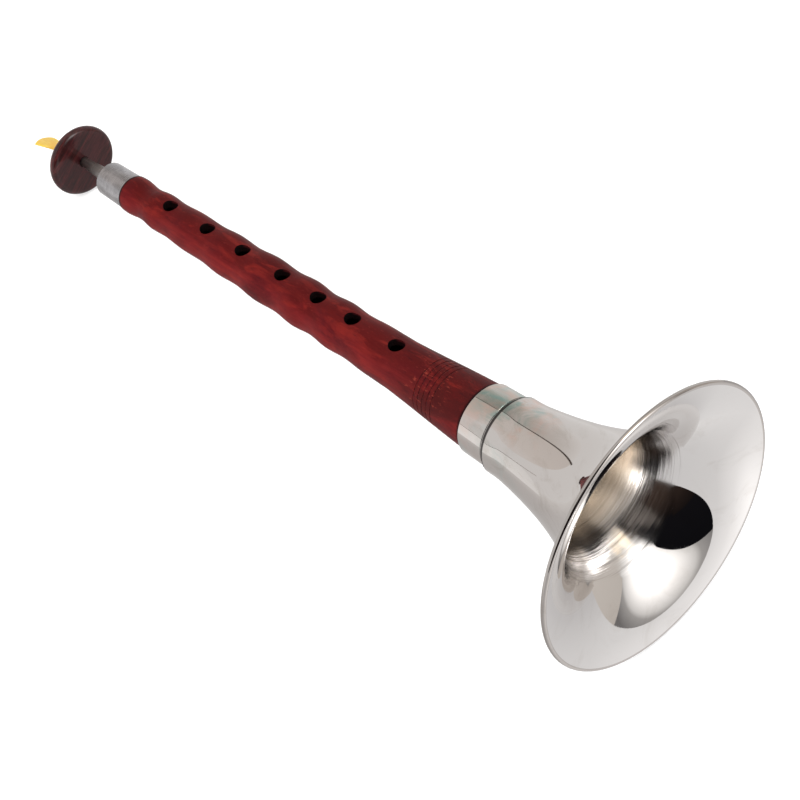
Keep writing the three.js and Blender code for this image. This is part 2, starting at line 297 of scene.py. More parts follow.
class Surface:
    """A material with a Principled shader, and short calls that add its nodes."""

    def __init__(self, name, **sockets):
        self.material = bpy.data.materials.new(name)
        self.material.use_nodes = True
        self.tree = self.material.node_tree
        self.shader = self.tree.nodes["Principled BSDF"]
        for socket, value in sockets.items():
            self.shader.inputs[socket.replace("_", " ")].default_value = value
        place = self.node("ShaderNodeTexCoord").outputs["Object"]
        self.place = self.node("ShaderNodeMapping", {"vector_type": "TEXTURE"}, Vector=place,
                               Location=tuple(RIM), Rotation=tuple(BORE.to_euler())).outputs[0]

    def node(self, kind, settings=None, **inputs):
        made = self.tree.nodes.new(kind)
        for key, value in (settings or {}).items():
            setattr(made, key, value)
        for key, value in inputs.items():
            self.feed(made.inputs[int(key[1:]) if key[1:].isdigit() else key.replace("_", " ")], value)
        return made

    def feed(self, socket, value):
        if isinstance(value, bpy.types.NodeSocket):
            self.tree.links.new(value, socket)
        else:
            socket.default_value = value

    def to(self, socket, value):
        self.feed(self.shader.inputs[socket], value)

    def stretched(self, scale, turn=(0, 0, 0)):
        """The place turned first, by angles in radians, and then stretched."""
        turned_place = self.node("ShaderNodeMapping", Vector=self.place, Rotation=turn).outputs[0]
        return self.node("ShaderNodeMapping", Vector=turned_place, Scale=scale).outputs[0]

    def noise(self, vector, scale, detail=3.0, roughness=0.5, distortion=0.0):
        made = self.node("ShaderNodeTexNoise", Vector=vector, Scale=scale, Detail=detail,
                         Roughness=roughness, Distortion=distortion)
        return made.outputs["Fac"]

    def maths(self, kind, a, b=0.0):
        return self.node("ShaderNodeMath", {"operation": kind}, i0=a, i1=b).outputs[0]

    def times(self, a, b):
        return self.maths("MULTIPLY", a, b)

    def ranged(self, value, low, high, to_low=0.0, to_high=1.0, kind="SMOOTHSTEP"):
        made = self.node("ShaderNodeMapRange", {"interpolation_type": kind}, Value=value)
        for key, amount in zip(("From Min", "From Max", "To Min", "To Max"), (low, high, to_low, to_high)):
            made.inputs[key].default_value = amount
        return made.outputs["Result"]

    def ramp(self, value, *stops):
        made = self.node("ShaderNodeValToRGB", Fac=value)
        set_stops(made.color_ramp, stops)
        return made.outputs["Color"]

    def mix(self, share, a, b):
        made = self.node("ShaderNodeMix", {"data_type": "RGBA"})
        self.feed(made.inputs["Factor"], share)
        for socket, value in zip([s for s in made.inputs if s.type == "RGBA"], (a, b)):
            self.feed(socket, value if isinstance(value, bpy.types.NodeSocket) else (*srgb(value), 1))
        return next(s for s in made.outputs if s.type == "RGBA")

    def bump(self, height, strength, distance):
        made = self.node("ShaderNodeBump", Height=height, Strength=strength, Distance=distance)
        return made.outputs["Normal"]

    def axes(self):
        split = self.node("ShaderNodeSeparateXYZ", Vector=self.place)
        return split.outputs["X"], split.outputs["Y"], split.outputs["Z"]

    def radius(self):
        """How far a place is from the bore's axis."""
        flattened = self.stretched((1, 0, 1))
        return self.node("ShaderNodeVectorMath", {"operation": "LENGTH"}, i0=flattened).outputs["Value"]

    def around(self, squeeze):
        """The place with its sideways axes squeezed, so that a noise runs round the bore in rings."""
        return self.stretched((squeeze, 1, squeeze))


def srgb(colour):
    """A colour written as 0 to 255 on the screen, as the linear numbers that Blender takes."""
    shares = [c / 255 for c in colour]
    return tuple(s / 12.92 if s <= 0.04045 else ((s + 0.055) / 1.055) ** 2.4 for s in shares)


def set_stops(ramp, stops):
    """Gives a colour ramp its stops, which are (position, colour) pairs."""
    elements = ramp.elements
    while len(elements) < len(stops):
        elements.new(0.5)
    for element, (position, colour) in zip(elements, stops):
        element.position = position
        element.color = (*srgb(colour), 1)


# Materials

def rosewood(rings):
    """Mottled red-brown wood with dark lines in its fine turned rings, painted shade on one side and at
    both joints, and painted highlights as lighter flecks beside the rings.
    """
    s = Surface("rosewood", Specular_IOR_Level=0.04)
    x, y, z = s.axes()
    low, high = span("lower_ferrule")[1], span("top_ferrule")[0]
    shade_from, shade_to = low + 0.025, low + 0.065
    line_half, line_fades = 0.00015, 0.0006
    seam_full, low_seam_end, high_seam_end = 0.0007, 0.0022, 0.0017
    fibres = s.stretched((1, 0.05, 1))
    clouds = s.noise(s.stretched((1, 0.3, 1), (0.35, 0.2, 0.3)), 60, 5, 0.62, 0.6)
    streaks = s.noise(fibres, 460, 5, 0.65, 0.4)
    fine = s.noise(fibres, 2100, 3, 0.6)
    grit = s.noise(s.stretched((1, 0.3, 1)), 1100, 4, 0.7)
    pores = s.ranged(s.noise(s.stretched((1, 0.07, 1)), 1500, 2, 0.5), 0.64, 0.72)
    red = s.ramp(streaks, (0.3, (97, 22, 25)), (0.5, (114, 29, 31)), (0.7, (132, 38, 36)))
    colour = s.mix(s.ranged(clouds, 0.52, 0.36, 0, 0.7), red, (70, 17, 22))
    # Painted shade: the top and one side of the pipe are darkened, with a ragged edge.
    turned_by = s.maths("ARCTAN2", x, z)
    drift = s.times(s.maths("SUBTRACT", clouds, 0.5), 2.6)
    painted_side_shade = s.ranged(s.maths("ADD", turned_by, drift), -1.35, -0.25, 0.0, 0.78)
    colour = s.mix(painted_side_shade, colour, (70, 12, 11))
    warm = s.ranged(s.noise(s.stretched((1, 0.25, 1)), 200, 4, 0.65, 0.5), 0.5, 0.68, 0, 0.38)
    colour = s.mix(warm, colour, (146, 42, 34))
    colour = s.mix(s.ranged(grit, 0.58, 0.72, 0, 0.4), colour, (56, 18, 22))
    colour = s.mix(s.ranged(grit, 0.42, 0.3, 0, 0.22), colour, (146, 58, 50))
    foot = s.times(s.ranged(y, shade_from, shade_to, 1.0, 0.0), s.ranged(clouds, 0.4, 0.58, 0.05, 0.75))
    colour = s.mix(foot, colour, (62, 20, 20))
    filled = s.ranged(grit, 0.44, 0.6, 0.15, 1.0)
    for station in rings:
        off_ring = s.maths("ABSOLUTE", s.maths("SUBTRACT", y, float(station)))
        line = s.ranged(off_ring, line_half, line_fades, 0.68, 0.0)
        colour = s.mix(s.times(line, filled), colour, (30, 9, 11))
    # Painted highlights: lighter flecks on the wood beside the turned rings.
    painted_glints = s.ranged(s.noise(s.stretched((1, 0.3, 1)), 1000, 3, 0.6), 0.6, 0.68)
    near_rings = s.times(s.ranged(y, low + 0.008, low + 0.018), s.ranged(y, low + 0.044, low + 0.03))
    painted_glints = s.times(painted_glints, s.times(near_rings, 0.48))
    colour = s.mix(painted_glints, colour, (156, 66, 53))
    colour = s.mix(s.times(pores, 0.45), colour, (46, 14, 18))
    # Painted shade: a dark band on the wood where it meets the lower ferrule and the cap.
    painted_joint_shade = s.maths("MAXIMUM", s.ranged(y, low + low_seam_end, low + seam_full),
                   s.ranged(y, high - high_seam_end, high - seam_full))
    colour = s.mix(s.times(painted_joint_shade, 0.92), colour, (16, 6, 8))
    s.to("Base Color", colour)
    s.to("Roughness", s.ranged(streaks, 0.25, 0.75, 0.36, 0.5))
    height = s.maths("SUBTRACT", s.times(fine, 0.4), s.times(pores, 0.7))
    s.to("Normal", s.bump(height, 0.25, 0.00012))
    return s.material


def bored_wood(first, last):
    """The wood inside the bore and the holes: painted near black as shade, with painted light as a redder
    band just under the rims.
    The rims' heights run from the first (station, radius) to the last."""
    s = Surface("bored_wood", Specular_IOR_Level=0.1, Roughness=0.7)
    x, y, z = s.axes()
    tone = s.noise(s.stretched((1, 0.1, 1)), 700, 4, 0.6)
    radius = s.ranged(y, first[0], last[0], first[1], last[1], "LINEAR")
    squares = s.maths("SUBTRACT", s.maths("POWER", radius, 2.0), s.maths("POWER", x, 2.0))
    depth = s.maths("SUBTRACT", s.maths("SQRT", squares), s.maths("ABSOLUTE", z))
    # Painted shade: the bore and the walls of the holes are coloured near black.
    painted_bore_shade = s.ramp(tone, (0.3, (14, 6, 7)), (0.7, (26, 10, 11)))
    # Painted light: a redder band just under the rims, on one side of each hole's wall.
    near_tip = s.ranged(x, HOLE_ACROSS - 0.0014, HOLE_ACROSS - 0.0002)
    rim = s.times(s.ranged(depth, 0.0008, 0.0017, 1.0, 0.0), near_tip)
    s.to("Base Color", s.mix(rim, painted_bore_shade, (70, 18, 21)))
    s.to("Normal", s.bump(tone, 0.3, 0.0001))
    return s.material


def dark_wood():
    """Dark streaked wood, whose grain leans across the disc, with the shiniest varnish on its edge."""
    s = Surface("dark_wood", Specular_IOR_Level=0.12, Coat_Roughness=0.04)
    edge_from, edge_full = disc_radius - 0.0035, disc_radius - 0.0015
    s.to("Coat Weight", s.ranged(s.radius(), edge_from, edge_full, 0.28, 0.5))
    lean = (0, 0.61, 0)
    streaks = s.noise(s.stretched((0.1, 1, 1), lean), 560, 5, 0.65, 0.6)
    clouds = s.noise(s.stretched((0.4, 1, 1), lean), 100, 3, 0.5, 0.5)
    pores = s.ranged(s.noise(s.stretched((0.1, 1, 1), lean), 2400, 2, 0.5), 0.62, 0.7)
    brown = s.ramp(streaks, (0.32, (35, 12, 13)), (0.5, (56, 20, 20)), (0.68, (88, 35, 35)))
    colour = s.mix(s.ranged(clouds, 0.46, 0.66, 0, 0.5), brown, (64, 20, 25))
    colour = s.mix(s.times(pores, 0.6), colour, (16, 7, 9))
    s.to("Base Color", colour)
    s.to("Roughness", s.ranged(streaks, 0.25, 0.75, 0.3, 0.42))
    s.to("Normal", s.bump(s.maths("SUBTRACT", streaks, pores), 0.1, 0.0001))
    return s.material


NICKEL = (194, 188, 184)
INNER_NICKEL = (223, 220, 218)
BRUSHED_METAL = (162, 159, 160)
BRUSHED_ROUGHNESS = 0.24
DRAWN_METAL = (180, 174, 170)
DRAWN_ROUGHNESS = 0.4


def smears(s, scale):
    """Faint wiped smudges, as fingers and cloths leave on polished metal."""
    wiped = s.noise(s.stretched((1, 0.4, 1), (0.4, 0.2, 0.7)), scale, 5, 0.62, 1.2)
    return s.ranged(wiped, 0.48, 0.75)


def spun_nickel():
    """Mirror plate whose spinning lines show in the throat."""
    s = Surface("spun_nickel", Metallic=1.0)
    _, y, _ = s.axes()
    throat_from, throat_full = 0.0195, 0.0225
    deep_from, deep_full = 0.03, 0.042
    smudge = smears(s, 60)
    bands = s.noise(s.around(0.012), 300, 3, 0.65)
    coarse = s.noise(s.around(0.01), 900, 3, 0.6)
    hairs = s.noise(s.around(0.008), 3600, 3, 0.7)
    wobble = s.noise(s.place, 40, 2, 0.5)
    depth = s.maths("ADD", y, s.times(wobble, 0.006))
    throat = s.ranged(depth, throat_from, throat_full)
    deep = s.ranged(depth, deep_from, deep_full)
    lines = s.maths("ADD", s.times(coarse, 0.6), s.times(hairs, 0.4))
    scored = s.times(s.ranged(lines, 0.52, 0.36), throat)
    nickel = s.mix(s.times(smudge, 0.25), INNER_NICKEL, (196, 190, 184))
    colour = s.mix(s.times(scored, 0.6), nickel, (120, 113, 108))
    s.to("Base Color", s.mix(s.times(deep, 0.6), colour, (226, 212, 192)))
    polish = s.ranged(smudge, 0, 1, 0.02, 0.05)
    worn = s.maths("ADD", s.times(throat, 0.12), s.times(deep, 0.1))
    s.to("Roughness", s.maths("ADD", polish, worn))
    shown = s.maths("ADD", s.times(throat, 0.98), 0.02)
    calm = s.maths("SUBTRACT", 1.0, s.times(deep, 0.78))
    relief = s.times(s.maths("ADD", s.times(lines, 0.35), bands), s.times(shown, calm))
    s.to("Normal", s.bump(relief, 0.7, 0.00024))
    return s.material


def polished_nickel():
    """Mirror plate with wiped smudges, faint tarnish, dirt and painted shade in the joint, and painted
    shade on the bead's outer edge.
    """
    s = Surface("polished_nickel", Metallic=1.0)
    x, y, z = s.axes()
    lip = bell_high
    joint_from, joint_full = 0.045, 0.07
    smudge = smears(s, 110)
    near_joint = s.ranged(y, joint_from, joint_full)
    upper_side = s.ranged(s.maths("ARCTAN2", x, z), -1.0, 0.1, 0.25, 1.0)
    spread = s.times(near_joint, upper_side)
    on_sleeve = s.times(s.ranged(y, lip - 0.002, lip + 0.004), 0.12)
    blots = s.maths("ADD", s.noise(s.stretched((1, 0.6, 1)), 90, 6, 0.7, 0.8), on_sleeve)
    tarnish = s.times(s.ranged(blots, 0.42, 0.66), spread)
    hue = s.noise(s.place, 70, 3, 0.6, 0.8)
    stain = s.ramp(hue, (0.38, (122, 158, 152)), (0.5, (168, 160, 150)), (0.62, (196, 160, 144)))
    colour = s.mix(s.times(smudge, 0.5), NICKEL, (176, 169, 162))
    colour = s.mix(s.times(tarnish, 0.75), colour, stain)
    # Painted shade: the bead's outer edge is made darker.
    edge_from, edge_full = throat_radius + BELL_BEAD * 0.35, throat_radius + BELL_BEAD * 0.95
    edge = s.ranged(s.radius(), edge_from, edge_full, 0.0, 0.4)
    # Dirt and painted shade: a dark ring across the bell's lip and the sleeve beside it.
    dirt_and_joint_shade = s.times(s.ranged(y, lip - 0.001, lip - 0.0006), s.ranged(y, lip + 0.0014, lip + 0.001))
    colour = s.mix(edge, colour, (128, 123, 118))
    s.to("Base Color", s.mix(s.times(dirt_and_joint_shade, 0.92), colour, (34, 31, 30)))
    s.to("Roughness", s.ranged(smudge, 0, 1, 0.04, 0.12))
    return s.material


def brushed_metal(name, base, rough):
    """Metal with fine lines round it, scored, and worn duller in patches."""
    s = Surface(name, Metallic=1.0)
    hairs = s.noise(s.around(0.02), 4200, 3, 0.6)
    coarse = s.noise(s.around(0.05), 1000, 3, 0.5)
    broad = s.noise(s.stretched((1, 0.5, 1)), 170, 4, 0.6, 0.6)
    worn = s.mix(s.ranged(broad, 0.42, 0.58, 0, 0.7), base, tuple(c * 0.8 for c in base))
    scored = s.mix(s.ranged(hairs, 0.4, 0.7, 0, 0.3), worn, tuple(c * 0.76 for c in base))
    bright = tuple(min(c * 1.15, 255) for c in base)
    s.to("Base Color", s.mix(s.ranged(coarse, 0.56, 0.7, 0, 0.3), scored, bright))
    s.to("Roughness", s.ranged(hairs, 0.3, 0.7, rough - 0.05, rough + 0.05))
    s.to("Normal", s.bump(hairs, 0.2, 0.00005))
    return s.material


def cane():
    """Shaved yellow cane, deeper in colour at its root and yellower along both edges."""
    s = Surface("cane", Specular_IOR_Level=0.3, Subsurface_Weight=0.2, Subsurface_Scale=0.002)
    s.to("Subsurface Radius", (1.0, 0.7, 0.3))
    x, y, _ = s.axes()
    fibres = s.stretched((1, 0.03, 1))
    streaks = s.noise(fibres, 2600, 4, 0.6)
    tone = s.noise(s.stretched((1, 0.3, 1)), 260, 3, 0.5)
    pale = s.ramp(streaks, (0.3, (206, 164, 66)), (0.5, (218, 180, 84)), (0.75, (228, 196, 108)))
    colour = s.mix(s.ranged(tone, 0.5, 0.75, 0, 0.5), pale, (214, 158, 62))
    share = s.ranged(y, reed_low + REED_ROOT, reed_high)
    middle = s.times(share, -REED_TIP_SHIFT)
    across = s.maths("ABSOLUTE", s.maths("SUBTRACT", x, middle))
    rim = s.ranged(across, REED_TIP_WIDE - 0.0032, REED_TIP_WIDE - 0.0008, 0.0, 0.7)
    colour = s.mix(rim, colour, (232, 192, 62))
    bark = s.ranged(y, reed_low + REED_ROOT * 0.8, reed_low + REED_ROOT * 2.6, 0.85, 0.0)
    s.to("Base Color", s.mix(bark, colour, (206, 148, 66)))
    s.to("Roughness", s.ranged(streaks, 0.3, 0.7, 0.42, 0.6))
    s.to("Normal", s.bump(streaks, 0.4, 0.00006))
    return s.material


def copper():
    """Drawn copper, dull in spots."""
    s = Surface("copper_wire", Metallic=1.0)
    dull = s.ranged(s.noise(s.place, 900, 3, 0.5), 0.45, 0.7, 0, 0.6)
    s.to("Base Color", s.mix(dull, (201, 133, 92), (140, 84, 56)))
    s.to("Roughness", s.ranged(dull, 0, 0.6, 0.22, 0.45))
    return s.material


def waxed_thread():
    """Pale thread, whose twisted strands and fluff show."""
    s = Surface("waxed_thread", Roughness=0.7, Sheen_Weight=0.3)
    x, y, z = s.axes()
    strands_round, strands_along = 90, 7000
    angle = s.maths("ARCTAN2", z, x)
    twist = s.maths("ADD", s.times(angle, strands_round), s.times(y, strands_along))
    strand = s.maths("SINE", twist)
    fluff = s.noise(s.place, 3000, 3, 0.6)
    tone = s.mix(s.ranged(fluff, 0.3, 0.7, 0, 0.5), (226, 214, 188), (196, 178, 142))
    # Painted shade: the grooves between the twisted strands are darkened.
    s.to("Base Color", s.mix(s.ranged(strand, -1, 0.2, 0.35, 0), tone, (150, 130, 98)))
    s.to("Normal", s.bump(s.maths("ADD", strand, fluff), 0.3, 0.00006))
    return s.material


def cork():
    """Cork with its cells and a few dark pits."""
    s = Surface("cork", Roughness=0.85)
    cells = s.node("ShaderNodeTexVoronoi", Vector=s.place, Scale=1400.0).outputs["Distance"]
    blots = s.ranged(s.noise(s.stretched((1, 0.5, 1)), 700, 3, 0.6), 0.58, 0.68)
    colour = s.ramp(cells, (0.05, (150, 110, 70)), (0.5, (190, 148, 102)), (0.9, (205, 166, 120)))
    s.to("Base Color", s.mix(s.times(blots, 0.7), colour, (92, 60, 36)))
    s.to("Normal", s.bump(s.maths("SUBTRACT", cells, blots), 0.4, 0.0001))
    return s.material


# Bell

def flare(station):
    """The bell's inner radius: a horn flare that turns smoothly into the straight socket."""
    horn = throat_radius * (1 + station / flare_length) ** -FLARE_POWER
    return (horn + socket_radius + math.hypot(horn - socket_radius, NECK_BLEND)) / 2


def arc(centre, radius, first, last, steps):
    """Points round a centre, by angles in degrees from the outward direction towards the reed."""
    angles = [math.radians(first + (last - first) * k / steps) for k in range(steps + 1)]
    return [(centre[0] + radius * math.cos(a), centre[1] + radius * math.sin(a)) for a in angles]


def spun_bell():
    """A shell of one wall's thickness with a round bead, mirror plated outside and spun inside."""
    inner = []
    for i in range(1, BELL_STEPS + 1):
        station = (bell_high - EDGE) * (i / BELL_STEPS) ** BELL_CROWDING
        inner.append(Vector((flare(station), station)))
    inner = [p for p in inner if p.x < throat_radius - BELL_BEAD * BEAD_COVER_SHARE]
    outer = []
    for i, point in enumerate(inner):
        along = (inner[min(i + 1, len(inner) - 1)] - inner[max(i - 1, 0)]).normalized()
        outer.append(point + Vector((along.y, -along.x)) * BELL_WALL)
    outer = [p for p in outer if p.x < throat_radius - BELL_BEAD]
    lip = [(socket_radius + EDGE, 180), (socket_radius + BELL_WALL - EDGE, 90)]
    lips = [p for radius, turned_by in lip
            for p in arc((radius, bell_high - EDGE), EDGE, turned_by, turned_by - 90, ARC)]
    bead = arc((throat_radius, BELL_BEAD), BELL_BEAD, *BEAD_SWEEP, 5 * ARC)
    outline = [tuple(p) for p in inner] + lips + [tuple(p) for p in reversed(outer)] + bead
    bell = turned("spun_bell", outline, BELL_ROUND)
    finish_piece(bell, spun_nickel(), "bell", "bell_metal", "bell")
    bell.data.materials.append(polished_nickel())
    inside = len(inner) * BELL_ROUND
    for face in bell.data.polygons[inside:]:
        face.material_index = 1


def bell_cork():
    """A ring in the bell's throat, whose near edges are rounded."""
    (near_in, near_out), (far_in, far_out) = ends("bell_cork")
    low, high = span("bell_cork")
    corners = [(near_in, low), (near_out * flat(FERRULE_SIDES), low),
               (far_out * flat(FERRULE_SIDES), high), (far_in, high)]
    ring = turned("bell_cork_ring", rounded(corners, [EDGE, EDGE, 0, 0]))
    finish_piece(ring, cork(), "bell", "cork", "bell_cork")


# Pipe and its ferrules

def lower_ferrule():
    """A sleeve that narrows a little past the bell's lip, with a fine ridge beside the lip."""
    (inner, outer), (_, end) = ends("lower_ferrule")
    low, high = span("lower_ferrule")
    outer, end = outer * flat(FERRULE_SIDES), end * flat(FERRULE_SIDES)
    ridge = bell_high + RIDGE_OFF_LIP
    beside = outer + (end - outer) * (ridge - bell_high) / (high - bell_high)
    proud = arc((beside, ridge), RIDGE_RADIUS, -RIDGE_SWEEP, RIDGE_SWEEP, ARC)
    corners = rounded([(inner, low), (outer, low), (outer, bell_high), (end, high), (inner, high)],
                      [0, EDGE, 0, EDGE, 0])
    before = sum(station <= bell_high + SAME_STATION for _, station in corners[:-1])
    ferrule = turned("lower_ferrule_sleeve", corners[:before] + proud + corners[before:])
    finish_piece(ferrule, polished_nickel(), "pipe", "ferrule_metal", "lower_ferrule")


def top_ferrule():
    """A cap, whose far end turns in to the mouth of the socket."""
    points = cad_points("top_ferrule")
    low, high = span("top_ferrule")
    (inner, outer), (mouth, _) = ends("top_ferrule")
    wall = outer - inner
    end = points[points[:, 1] > high - wall, 0].max()
    scale = flat(FERRULE_SIDES)
    corners = [(inner, low), (outer * scale, low), (end * scale, high), (mouth, high),
               (mouth, high - wall), (end - wall, high - wall)]
    cap = turned("top_ferrule_cap", rounded(corners, [0, EDGE / 2, 3 * EDGE, EDGE / 2, 0, 0]))
    metal = brushed_metal("brushed_metal", BRUSHED_METAL, BRUSHED_ROUGHNESS)
    finish_piece(cap, metal, "pipe", "brushed_metal", "top_ferrule")


def drills(hole_stations, thumb):
    """One mesh of all the drills: seven from above and the thumb's from below."""
    reach = cad_points("pipe")[:, 0].max() + HOLE_ACROSS
    work = bmesh.new()
    for station, way in [(s, 1) for s in hole_stations] + [(thumb, -1)]:
        made = bmesh.ops.create_cone(work, cap_ends=True, segments=HOLE_ROUND, radius1=1, radius2=1,
                                     depth=reach)
        bmesh.ops.scale(work, verts=made["verts"], vec=(HOLE_ACROSS, HOLE_ALONG, 1))
        bmesh.ops.translate(work, verts=made["verts"], vec=(0, station, way * reach / 2))
    mesh = bpy.data.meshes.new("drills")
    work.to_mesh(mesh)
    mesh.transform(BORE)
    work.free()
    return bpy.data.objects.new("drills", mesh)


def cut(piece, cutter):
    """Cuts the cutter's solids out of the piece for good."""
    bpy.context.scene.collection.objects.link(cutter)
    boolean = piece.modifiers.new("cut", "BOOLEAN")
    boolean.operation = "DIFFERENCE"
    boolean.solver = "EXACT"
    boolean.object = cutter
    graph = bpy.context.evaluated_depsgraph_get()
    piece.data = bpy.data.meshes.new_from_object(piece.evaluated_get(graph))
    piece.modifiers.clear()
    bpy.data.objects.remove(cutter)
    piece.data.set_sharp_from_angle(angle=math.radians(SMOOTH_ANGLE))


def grooves(knots):
    """Which knots are the bottoms of the fine turned grooves."""
    steps = np.diff(knots[:, 0])
    near = (steps[:-1] < SAME_GROOVE) & (steps[1:] < SAME_GROOVE)
    dips = knots[1:-1, 1] < np.minimum(knots[:-2, 1], knots[2:, 1])
    return 1 + np.where(near & dips)[0]


def darken_inside(wood, hole_stations, material):
    """Gives the walls of the bore and the holes the second material."""
    wood.data.materials.append(material)
    turned_back = TO_BORE.to_3x3()
    for face in wood.data.polygons:
        centre, normal = TO_BORE @ face.center, turned_back @ face.normal
        outward = normal.x * centre.x + normal.z * centre.z
        inwards = outward < -INWARD_SHARE * math.hypot(centre.x, centre.z)
        off_hole = min(math.hypot(centre.x / HOLE_ACROSS, (centre.y - station) / HOLE_ALONG)
                       for station in hole_stations)
        if inwards or (off_hole < HOLE_OUTLINE_SHARE and abs(normal.z) < HOLE_WALL_UPWARD_SHARE):
            face.material_index = 1


def turned_pipe():
    """The scalloped pipe with its bore, socket, holes and fine grooves. The grooves are taken out of
    the frame's own line and cut again as thin ones."""
    _, ferrule_high = span("lower_ferrule")
    cap_low, _ = span("top_ferrule")
    foot, top = span("pipe")
    (bore_foot, tenon), (socket, top_tenon) = ends("pipe")
    bore_top = cad_points("pipe")[:, 0].min()
    knots = cad_line("pipe", ferrule_high, cap_low, (socket + top_tenon) / 2, PIPE_SIDES)
    bottoms = grooves(knots)
    middles = knots[bottoms, 0]
    knots = np.delete(knots, bottoms, axis=0)
    stations = [knots[0, 0]]
    for low, high in zip(knots[:-1, 0], knots[1:, 0]):
        pieces = max(LEAST_STEPS, math.ceil((high - low) / PIPE_STEP))
        stations += [low + (high - low) * k / pieces for k in range(1, pieces + 1)]
    stations += [m + GROOVE_WIDTH / 2 * k / ARC for m in middles for k in range(-ARC, ARC + 1)]
    stations = np.unique(np.round(stations, 7))
    off_groove = abs(stations[:, None] - middles).min(axis=1)
    cut_in = GROOVE_DEPTH * np.clip(1 - off_groove / (GROOVE_WIDTH / 2), 0, 1)
    radii = smooth_line(knots, stations) - cut_in
    gap = ends("bell")[1][0] - cad_points("lower_ferrule")[:, 0].max()
    socket_foot = span("bocal")[0] - gap
    outline = [(bore_foot, foot), (tenon, foot), (tenon, stations[0])]
    outline += list(zip(radii, stations))
    outline += [(top_tenon, stations[-1]), (top_tenon, top), (socket, top),
                (socket, socket_foot), (bore_top, socket_foot)]
    wood = turned("turned_pipe", outline, PIPE_ROUND)
    hole_stations = [ferrule_high + (cap_low - ferrule_high) * share for share in HOLE_SHARES]
    thumb = hole_stations[-2] + (hole_stations[-1] - hole_stations[-2]) * THUMB_BETWEEN
    cut(wood, drills(hole_stations, thumb))
    finish_piece(wood, rosewood(middles), "pipe", "rosewood", "pipe")
    rims = [(station, float(smooth_line(knots, np.array([station]))[0])) for station in hole_stations]
    darken_inside(wood, hole_stations + [thumb], bored_wood(rims[0], rims[-1]))


# Bocal, its lapping and the air disc

def bocal():
    """A tube with a plain shank, which tapers from the cap's mouth to its tip."""
    (foot_in, foot_out), (tip_in, tip_out) = ends("bocal")
    low, high = span("bocal")
    shank_end = span("top_ferrule")[1]
    corners = [(foot_in, low), (foot_out, low), (foot_out, shank_end), (tip_out, high), (tip_in, high),
               (foot_in, shank_end)]
    tube = turned("bocal_tube", rounded(corners, [0, EDGE / 2, 0, EDGE / 2, 0, 0]), BOCAL_ROUND)
    metal = brushed_metal("drawn_metal", DRAWN_METAL, DRAWN_ROUGHNESS)
    finish_piece(tube, metal, "bocal", "brushed_metal", "bocal")


def bocal_lapping():
    """One thread wound round the bocal, side by side with itself."""
    (inner, outer), _ = ends("bocal_lapping")
    low, high = span("bocal_lapping")
    columns = LAPPING_ROUND
    rings = round((high - low) / THREAD_PITCH * LAPPING_ROWS_PER_TURN)
    deep = THREAD_PITCH / 2
    vertices = []
    for i in range(rings + 1):
        station = low + (high - low) * i / rings
        for k in range(columns):
            angle = 2 * math.pi * k / columns
            phase = (station - low) / THREAD_PITCH - k / columns
            radius = outer - deep * (1 - math.sqrt(abs(math.sin(math.pi * phase))))
            vertices.append((radius * math.cos(angle), station, radius * math.sin(angle)))
    for station in (high, low):
        for k in range(columns):
            angle = 2 * math.pi * k / columns
            vertices.append((inner * math.cos(angle), station, inner * math.sin(angle)))
    faces = grid_faces(rings + 3, columns, True)
    lapping = add_piece("bocal_thread", vertices, faces, THREAD_SMOOTH_ANGLE)
    finish_piece(lapping, waxed_thread(), "bocal_lapping", "thread", "bocal_lapping")


def air_disc():
    """A flat disc with a fully round edge."""
    (hole, _), (far_hole, _) = ends("air_disc")
    outer = disc_radius * flat(FERRULE_SIDES)
    low, high = span("air_disc")
    edge = (high - low) * DISC_EDGE_SHARE
    corners = [(hole, low), (outer, low), (outer, high), (far_hole, high)]
    disc = turned("turned_air_disc", rounded(corners, [EDGE, edge, edge, EDGE]))
    finish_piece(disc, dark_wood(), "air_disc", "dark_wood", "air_disc")


# Reed

def ease(share):
    """A share that starts and ends gently."""
    return (1 - math.cos(math.pi * share)) / 2


def reed_ring(station, half_width, half_thickness, bow, shift):
    """One oval ring of the reed, turned with it, whose edges lie back by the bow."""
    ring = []
    turn_by = Matrix.Rotation(math.radians(REED_TURN), 3, "Y")
    for k in range(REED_ROUND):
        angle = 2 * math.pi * k / REED_ROUND
        across = math.cos(angle)
        point = Vector((half_width * across - shift, station - bow * across ** 2,
                        half_thickness * math.sin(angle)))
        ring.append(tuple(turn_by @ point))
    return ring


def reed_skin(wall):
    """Rings from the round root to the flat, bowed tip, a wall inside the reed's outer surface."""
    rings = []
    root_steps = REED_STEPS // 3
    for i in range(root_steps):
        station = reed_low + REED_ROOT * i / root_steps
        rings.append(reed_ring(station, reed_root_radius - wall, reed_root_radius - wall, 0, 0))
    for i in range(REED_STEPS + 1):
        share = i / REED_STEPS
        station = reed_low + REED_ROOT + (reed_high - reed_low - REED_ROOT) * share
        wide = reed_root_radius + (REED_TIP_WIDE - reed_root_radius) * (share + ease(share)) / 2
        thick = reed_root_radius + (REED_TIP_THICK - reed_root_radius) * ease(math.sqrt(share))
        bow, shift = REED_TIP_BOW * share ** 2, REED_TIP_SHIFT * share
        rings.append(reed_ring(station, wide - wall, thick - wall, bow, shift))
    return rings


def cane_reed():
    """A hollow reed: its outer skin from the tip to the root, and its inner skin back again."""
    rings = reed_skin(0)[::-1] + reed_skin(REED_WALL)
    vertices = [point for ring in rings for point in ring]
    reed = add_piece("cane_reed", vertices, grid_faces(len(rings), REED_ROUND, True), SOFT_SMOOTH_ANGLE)
    finish_piece(reed, cane(), "reed", "cane", "reed")


